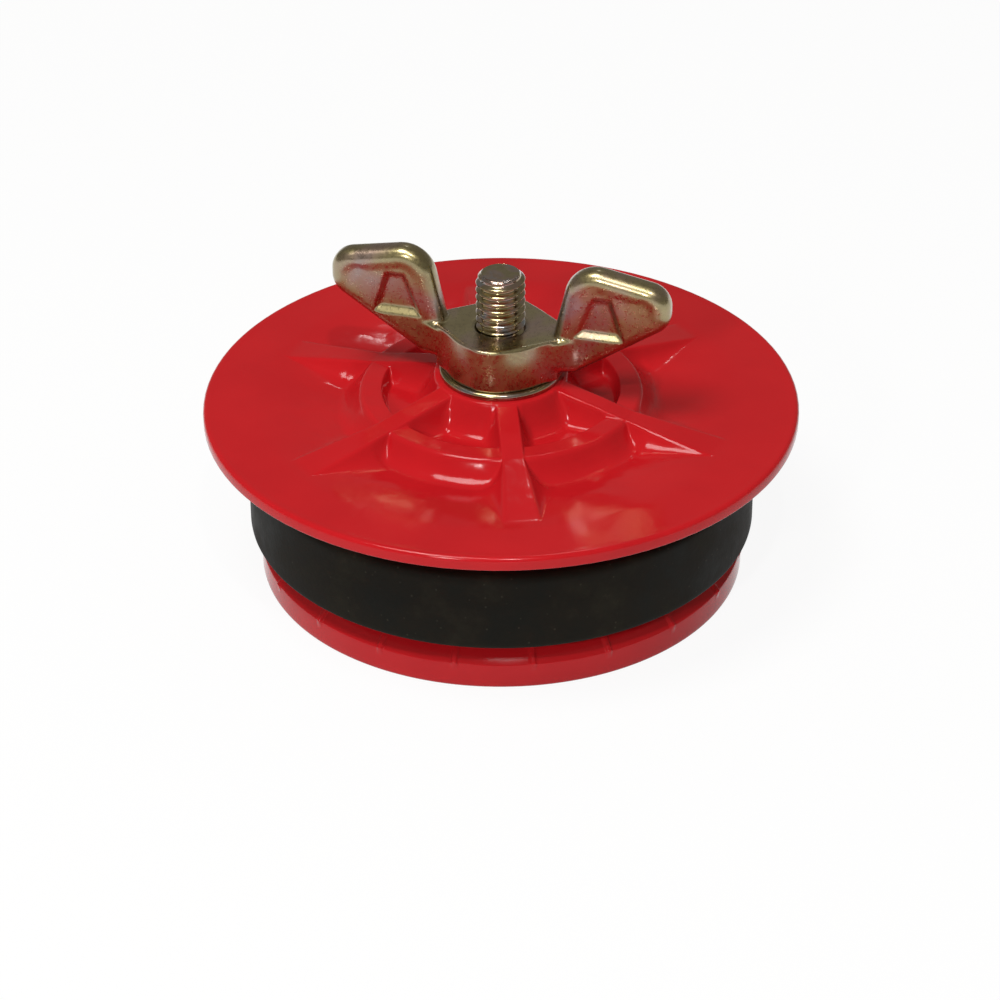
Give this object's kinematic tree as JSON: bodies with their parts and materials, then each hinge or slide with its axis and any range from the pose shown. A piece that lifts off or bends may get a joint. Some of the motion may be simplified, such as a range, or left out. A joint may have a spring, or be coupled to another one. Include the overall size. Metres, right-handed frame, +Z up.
{
  "type": "pipe expansion plug",
  "caption": "Round plug for the end of a pipe: a rubber ring held between wedge-faced plates, which a bolt and wing nut draw together so that the ring widens against the pipe.",
  "frame": {"origin": "centre of the face that the plug stands on, at the lower plate's rim", "axes": "+Z up along the bolt to the wing nut; +X to the right and +Y away in the picture"},
  "size_m": [0.116, 0.116, 0.0666],
  "materials": {
    "red_plastic": "glossy moulded plastic, deep red",
    "black_rubber": "matt black rubber with faint mottling",
    "passivated_zinc": "bright zinc plate with a yellow passivation"
  },
  "bodies": {
    "lower_body": {"bottom_plate": "red_plastic", "carriage_bolt": "passivated_zinc", "bolt_seal": "black_rubber", "sealing_ring": "black_rubber"},
    "upper_body": {"top_plate": "red_plastic", "flat_washer": "passivated_zinc"},
    "nut_body": {"wing_nut": "passivated_zinc"}
  },
  "joints": [
    {"name": "plate_slide", "type": "slide", "parent": "lower_body", "child": "upper_body", "axis": [0, 0, -1], "range_m": [0, 0.00476], "deforming": ["sealing_ring"]},
    {"name": "nut_turn", "type": "hinge", "parent": "upper_body", "child": "nut_body", "pos_m": [0, 0, 0.0428], "axis": [0, 0, -1], "range_deg": [0, 1081]}
  ],
  "couplings": [
    {"joint": "nut_turn", "follows": "plate_slide", "rad_per_m": 3957.9}
  ]
}
